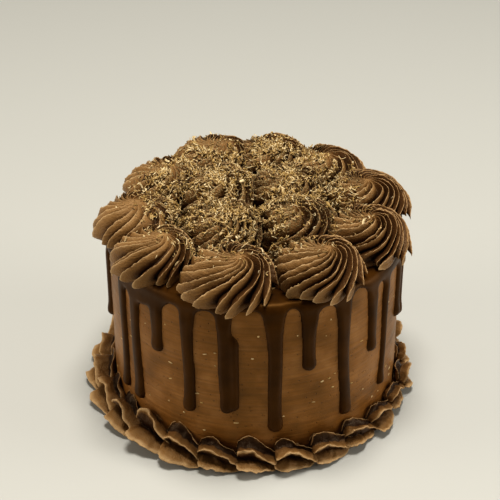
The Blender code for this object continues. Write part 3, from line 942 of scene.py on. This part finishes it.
def makeShell(index):
    form = shellForm
    draw = random.Random(form["seed"] + index)
    swell = draw.uniform(*form["swells"])
    tilt = draw.uniform(-form["tilts"], form["tilts"])
    strengths = [draw.uniform(*form["unevenFins"]) for _ in form["fins"]]
    if index in form["turned"]:
        swell, tilt = form["turned"][index]
    pitch = 360 / form["count"]
    inner = cakeForm["radius"] - form["inCake"]
    archLength, archPower, archDown = form["arch"]
    points, ridges, tones = [], [], []
    stations = np.linspace(0, 1, form["sections"]) ** form["gather"] * form["tail"]
    for along in stations:
        size = np.interp(along, *zip(*form["size"])) * swell
        roll = form["swing"] * (form["swingFrom"] - along) + tilt
        arch = math.sin(math.pi * min(1.0, along / archLength) ** archPower) - archDown
        outward, upward, ridge, tone = shellOutline(form, roll, size, strengths, arch)
        bearing = pitch * (index + along)
        wider = 1 + form["wider"] * math.cos(math.radians(bearing - form["widerFrom"]))
        radius = form["middleRadius"] + outward * wider
        fallen = form["fall"] * smoothStep((along - form["fallFrom"]) / form["fallOver"])
        height = form["middleHeight"] - fallen + upward
        radius = np.maximum(radius, inner + form["apart"] * np.arange(len(radius)))
        section = polarPoint(radius, np.full_like(radius, bearing), np.maximum(height, form["lowest"]))
        foot = polarPoint(np.array([inner, form["middleRadius"] + form["footOut"]]),
                          np.full(2, bearing), form["footHeight"])
        points += section.tolist() + foot.tolist()
        ridges += ridge.tolist() + [0.0, 0.0]
        # painted tones, with painted shade at the two foot points
        tones += tone + [form["paintedFootShade"], form["paintedFootShade"]]
    columns = len(points) // len(stations)
    points = np.array(points)
    tornWaves, tornDepth = form["torn"]
    for i, place in enumerate(points):
        spot = Vector(place)
        free = min(1, points[i, 2] / form["groundFade"])
        for waves, depth in form["lumps"]:
            points[i] += noise.noise_vector(spot * waves) * depth * free
        points[i, 2] += tornDepth * noise.noise(spot * tornWaves) * ridges[i] ** 2 * free
        points[i, 2] = max(form["ground"], points[i, 2])
    faces = gridQuads(len(stations), columns)
    faces.append(list(range(columns))[::-1])
    faces.append([(len(stations) - 1) * columns + i for i in range(columns)])
    name = f"border_shell_{index + 1:02d}"
    # the ridge attribute carries these painted tones
    piece = makePiece("piped_" + name, points, faces, pipedFinish,
                      {"ridge": tones})
    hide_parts(name)
    return piece


shells = [makeShell(index) for index in range(shellForm["count"])]
print("shells made:", len(shells))


# Grated milk chocolate over the rosettes

shavingForm = {
    "count": 5000,
    "lengths": (1.8, 5.4),
    "widths": (0.36, 0.7),
    "thick": 0.24,
    "bends": (0.8, 3.6),
    "piled": 0.7,
    "tilt": 0.22,
    "stations": 4,
    "shades": (0.6, 0.22),
    "darkShare": 0.1,
    "seed": 3,
}
curlForm = {
    "count": 3000,
    "lengths": (2.2, 6.4),
    "widths": (0.45, 1.0),
    "thick": 0.28,
    "bends": (1.0, 4.2),
    "piled": 0.8,
    "tilt": 0.28,
    "stations": 5,
    "shades": (0.5, 0.22),
    "darkShare": 0.14,
    "seed": 4,
}
flakeForm = {
    "count": 90,
    "lengths": (2.8, 6.5),
    "widths": (1.2, 2.5),
    "thick": 0.35,
    "bends": (0.1, 0.9),
    "piled": 1.2,
    "tilt": 0.4,
    "stations": 5,
    "shades": (0.6, 0.25),
    "darkShare": 0.3,
    "seed": 8,
}
# What all of them share: how they break short, twist, taper and tear, how dark the dark ones
# are, and how high the lowest lie
tornForm = {
    "shortest": 0.6,
    "twist": 1.2,
    "tapers": (0.3, 0.8),
    "taperPower": 2.5,
    "tears": (0.8, 1.2),
    "darkShades": (0.0, 0.15),
    "lift": 0.15,
}


# A torn curl of chocolate lying along X, as rings of four points
def shavingPoints(draw, form):
    length = draw.uniform(*form["lengths"]) * draw.uniform(tornForm["shortest"], 1.0)
    width = draw.uniform(*form["widths"])
    bend = draw.uniform(*form["bends"]) * draw.choice((-1, 1))
    twist = draw.uniform(-tornForm["twist"], tornForm["twist"])
    radius = length / bend
    rings = []
    for i in range(form["stations"]):
        share = i / (form["stations"] - 1) - 0.5
        turn = bend * share
        centre = np.array([radius * math.sin(turn), 0.0, -radius * (1 - math.cos(turn))])
        taper = 1 - (2 * abs(share)) ** tornForm["taperPower"] * draw.uniform(*tornForm["tapers"])
        taper = taper * draw.uniform(*tornForm["tears"])
        roll = twist * share
        side = np.array([0, math.cos(roll), math.sin(roll)]) * width / 2 * taper
        lift = np.array([math.sin(turn), -math.sin(roll), math.cos(turn)]) * form["thick"] / 2
        rings += [centre - side - lift, centre + side - lift, centre + side + lift, centre - side + lift]
    return np.array(rings)


# A tree of the pieces' faces for dropping things on
def surfaceUnder(pieces):
    points, faces = [], []
    for piece in pieces:
        first = len(points)
        points += [vertex.co.copy() for vertex in piece.data.vertices]
        faces += [[first + i for i in face.vertices] for face in piece.data.polygons]
    return BVHTree.FromPolygons(points, faces)


# One piece of many shavings, each given as its rings of four points
def joinShavings(name, form, shapes, shades):
    last = (form["stations"] - 1) * 4
    ends = [[3, 2, 1, 0], [last, last + 1, last + 2, last + 3]]
    oneShaving = gridQuads(form["stations"], 4) + ends
    size = 4 * form["stations"]
    faces = []
    for first in range(0, size * len(shapes), size):
        faces += [[first + i for i in face] for face in oneShaving]
    return makePiece(name, np.concatenate(shapes), faces, gratedFinish,
                     {"shade": np.repeat(shades, size)})


def dropOn(tree, x, y):
    return tree.ray_cast(Vector((x * mm, y * mm, farOff)), Vector((0, 0, -1)))[:2]


def scatterShavings(name, form, tree):
    pile = pileForm
    draw = random.Random(form["seed"])
    shapes, shades = [], []
    while len(shapes) < form["count"]:
        x, y = [draw.uniform(-pile["reach"], pile["reach"]) for _ in range(2)]
        spot = Vector((x / pile["patchMm"], y / pile["patchMm"], pile["patchShift"]))
        patch = 1 + pile["patches"] * noise.noise(spot)
        if any(math.hypot(x - px, y - py) < reach for px, py, reach in pile["bare"]):
            patch *= pile["bareShare"]
        chance = pileAt(x, y, pile["fade"]) * pile["thickest"]
        if math.hypot(x, y) > pile["reach"] or draw.random() > chance * patch:
            continue
        hit, normal = dropOn(tree, x, y)
        if hit is None:
            continue
        around = [dropOn(tree, x + dx * pile["nearby"], y + dy * pile["nearby"])[0]
                  for dx, dy in ((1, 0), (-1, 0), (0, 1), (0, -1))]
        level = np.mean([place.z for place in around if place]) / mm if any(around) else hit.z / mm
        deep = max(0.0, level - hit.z / mm)
        if deep > pile["groove"] and draw.random() < pile["clear"]:
            continue
        filled = deep * draw.random() * pile["filled"]
        up = (normal + Vector([draw.gauss(0, form["tilt"]) for _ in range(3)])).normalized()
        along = up.cross(Vector([draw.gauss(0, 1) for _ in range(3)])).normalized()
        side = up.cross(along)
        lift = tornForm["lift"] + abs(draw.gauss(0, form["piled"])) * chance
        centre = np.array(hit) / mm + np.array(normal) * lift + np.array([0, 0, filled])
        shapes.append(shavingPoints(draw, form) @ np.array([along, side, up]) + centre)
        if draw.random() > form["darkShare"]:
            shade = draw.gauss(*form["shades"])
        else:
            shade = draw.uniform(*tornForm["darkShades"])
        shades.append(min(1.0, max(0.0, shade)))
    return joinShavings(name, form, shapes, shades)


landing = surfaceUnder(rosettes + [ganache])
scatterShavings("chocolate_shavings", shavingForm, landing)
scatterShavings("chocolate_curls", curlForm, landing)
scatterShavings("chocolate_flakes", flakeForm, landing)
print("shavings made")


# Pale flecks of butter that were not beaten in, drawn out level by the scraper

fleckForm = {
    "count": 130,
    "lengths": (0.8, 3.4),
    "widths": (0.4, 0.9),
    "thick": 0.4,
    "bends": (0.05, 0.3),
    "heights": (20.0, 98.0),
    "slant": 0.25,
    "stations": 4,
    "shades": (0.5, 0.85),
    "seed": 6,
}


def scatterFlecks(form, tree):
    draw = random.Random(form["seed"])
    shapes, shades = [], []
    for _ in range(form["count"]):
        bearing = draw.uniform(0, 2 * math.pi)
        height = draw.uniform(*form["heights"])
        outward = Vector((math.cos(bearing), math.sin(bearing), 0))
        hit, normal, _, _ = tree.ray_cast(outward * farOff + Vector((0, 0, height * mm)), -outward)
        along = Vector((0, 0, 1)).cross(outward) + Vector((0, 0, draw.gauss(0, form["slant"])))
        along = (along - normal * along.dot(normal)).normalized()
        axes = np.array([along, normal.cross(along), normal])
        shapes.append(shavingPoints(draw, form) @ axes + np.array(hit) / mm)
        shades.append(draw.uniform(*form["shades"]))
    joinShavings("butter_flecks", form, shapes, shades)


scatterFlecks(fleckForm, surfaceUnder([cake]))
print("flecks made")


# Camera and soft studio light

cameraView = {
    "target": (-2.8, 0.0, 86.0),
    "distance": 832.0,
    "elevation": 33.2,
    "lens": 108.0,
    "sensor": 36.0,
}
lights = {  # place and size in metres, power in watts
    "overhead": {"place": (0.04, -0.05, 1.4), "size": 0.5, "power": 18.0, "colour": "#fffffe"},
    "left": {"place": (-1.35, -0.2, 0.5), "size": 0.8, "power": 7.2, "colour": "#fff8ec"},
    "right": {"place": (1.35, -0.2, 0.5), "size": 0.8, "power": 8.2, "colour": "#fffdf8"},
}
lightsAim = (0, 0, 0.08)
room = {"colour": "#ecece6", "strength": 0.17}
floorLook = {"half": 6.0, "colour": "#c1beb4", "roughness": 0.7}  # matt paint, half its side in metres


def placeCamera():
    view = cameraView
    tilt = math.radians(view["elevation"])
    back = Vector((0, -math.cos(tilt), math.sin(tilt)))
    data = bpy.data.cameras.new("photograph_camera")
    data.lens = view["lens"]
    data.sensor_width = view["sensor"]
    camera = bpy.data.objects.new("photograph_camera", data)
    camera.location = (Vector(view["target"]) + back * view["distance"]) * mm
    camera.rotation_euler = (math.pi / 2 - tilt, 0, 0)
    bpy.context.scene.collection.objects.link(camera)
    bpy.context.scene.camera = camera


def placeLight(name, light):
    data = bpy.data.lights.new(name, "AREA")
    data.shape = "DISK"
    data.size = light["size"]
    data.energy = light["power"]
    data.color = toLinear(light["colour"])[:3]
    lamp = bpy.data.objects.new(name, data)
    lamp.location = light["place"]
    aim = Vector(lightsAim) - Vector(light["place"])
    lamp.rotation_euler = aim.to_track_quat("-Z", "Y").to_euler()
    bpy.context.scene.collection.objects.link(lamp)


def lightRoom():
    world = bpy.data.worlds.new("soft_room")
    world.use_nodes = True
    background = world.node_tree.nodes["Background"]
    background.inputs["Color"].default_value = toLinear(room["colour"])
    background.inputs["Strength"].default_value = room["strength"]
    bpy.context.scene.world = world
    bpy.context.scene.view_settings.view_transform = "Standard"
    bpy.context.scene.view_settings.look = "Medium High Contrast"


def layFloor():
    half = floorLook["half"]
    corners = [(-half, -half, 0), (half, -half, 0), (half, half, 0), (-half, half, 0)]
    mesh = bpy.data.meshes.new("pale_floor")
    mesh.from_pydata(corners, [], [[0, 1, 2, 3]])
    paint, tree = newMaterial("pale_matt_paint")
    shader = addNode(tree, "BsdfPrincipled",
                     {"Base Color": toLinear(floorLook["colour"]), "Roughness": floorLook["roughness"]})
    addNode(tree, "OutputMaterial", links={"Surface": shader})
    mesh.materials.append(paint)
    floor = bpy.data.objects.new("pale_floor", mesh)
    bpy.context.scene.collection.objects.link(floor)


placeCamera()
for name, light in lights.items():
    placeLight(name, light)
lightRoom()
layFloor()
print("camera, lights and floor placed")
